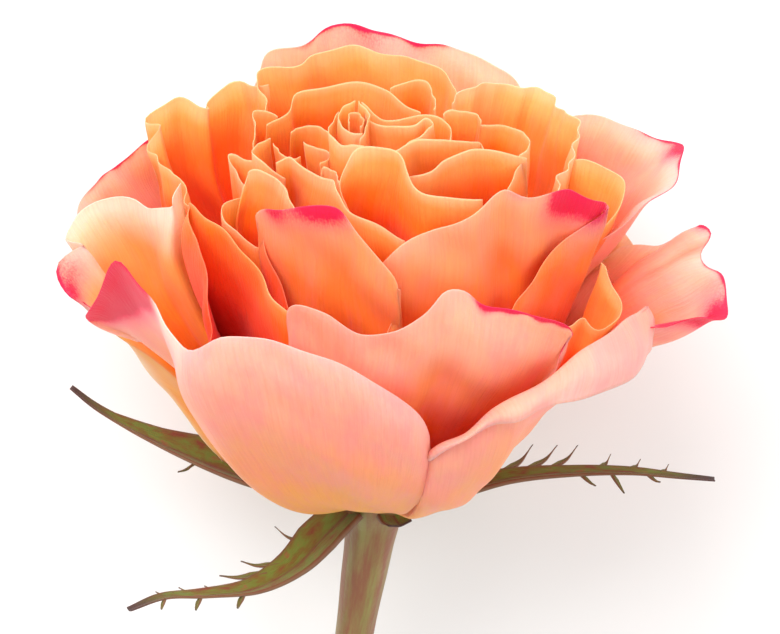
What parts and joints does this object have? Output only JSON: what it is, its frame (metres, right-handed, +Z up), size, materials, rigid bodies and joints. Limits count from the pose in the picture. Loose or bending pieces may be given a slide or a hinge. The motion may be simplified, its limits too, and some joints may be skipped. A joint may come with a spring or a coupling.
{
  "type": "cut rose",
  "caption": "cut garden rose, fully open, orange inside and pink outside, with reflexed sepals and a short cut stem, lying on its side",
  "frame": {"origin": "centre of the bounding box's bottom face, on the surface that the flower lies on", "axes": "+Y runs along the flower from its head towards the cut end of the stem, +Z is up, +X completes the frame"},
  "size_m": [0.1064, 0.1628, 0.086],
  "materials": {
    "petal_outer": "satin",
    "petal_middle": "satin",
    "petal_inner": "satin",
    "sepal": "matte",
    "stem": "satin"
  },
  "bodies": {
    "root": {"stem": "stem", "petal_outer_front_left": "petal_outer", "petal_outer_front_right": "petal_outer", "petal_outer_right": "petal_outer", "petal_outer_left": "petal_outer", "petal_outer_back_left": "petal_outer", "petal_outer_back": "petal_outer", "petal_outer_back_right": "petal_outer", "petal_outer_low_right": "petal_outer", "petal_front_right": "petal_outer", "petal_front_left": "petal_middle", "petal_front_middle": "petal_outer", "petal_right_upper": "petal_outer", "petal_upper_left": "petal_middle", "petal_right_wrinkled": "petal_middle", "petal_back_second": "petal_middle", "petal_right_low": "petal_middle", "petal_right_tip": "petal_middle", "petal_left_spoon": "petal_inner", "petal_left_peach": "petal_inner", "petal_left_pointed": "petal_inner", "petal_left_notched": "petal_inner", "petal_back_ring": "petal_inner", "petal_back_lobe": "petal_inner", "petal_right_small": "petal_inner", "petal_right_crescent": "petal_inner", "petal_front_sweep": "petal_inner", "petal_front_bowl": "petal_inner", "petal_right_blush": "petal_inner", "petal_right_inner": "petal_inner", "petal_left_loop": "petal_inner", "petal_left_dark": "petal_inner", "petal_left_crumpled": "petal_inner", "petal_centre_folded": "petal_inner", "petal_centre_tip": "petal_inner", "petal_ribbon_outer": "petal_inner", "petal_bud_left": "petal_inner", "petal_ribbon_inner": "petal_inner", "petal_bud_right": "petal_inner", "petal_bud_wrap": "petal_inner", "petal_bud_spiral": "petal_inner", "sepal_left": "sepal", "sepal_front_left": "sepal", "sepal_stub": "sepal", "sepal_right": "sepal", "sepal_back": "sepal"}
  },
  "joints": []
}
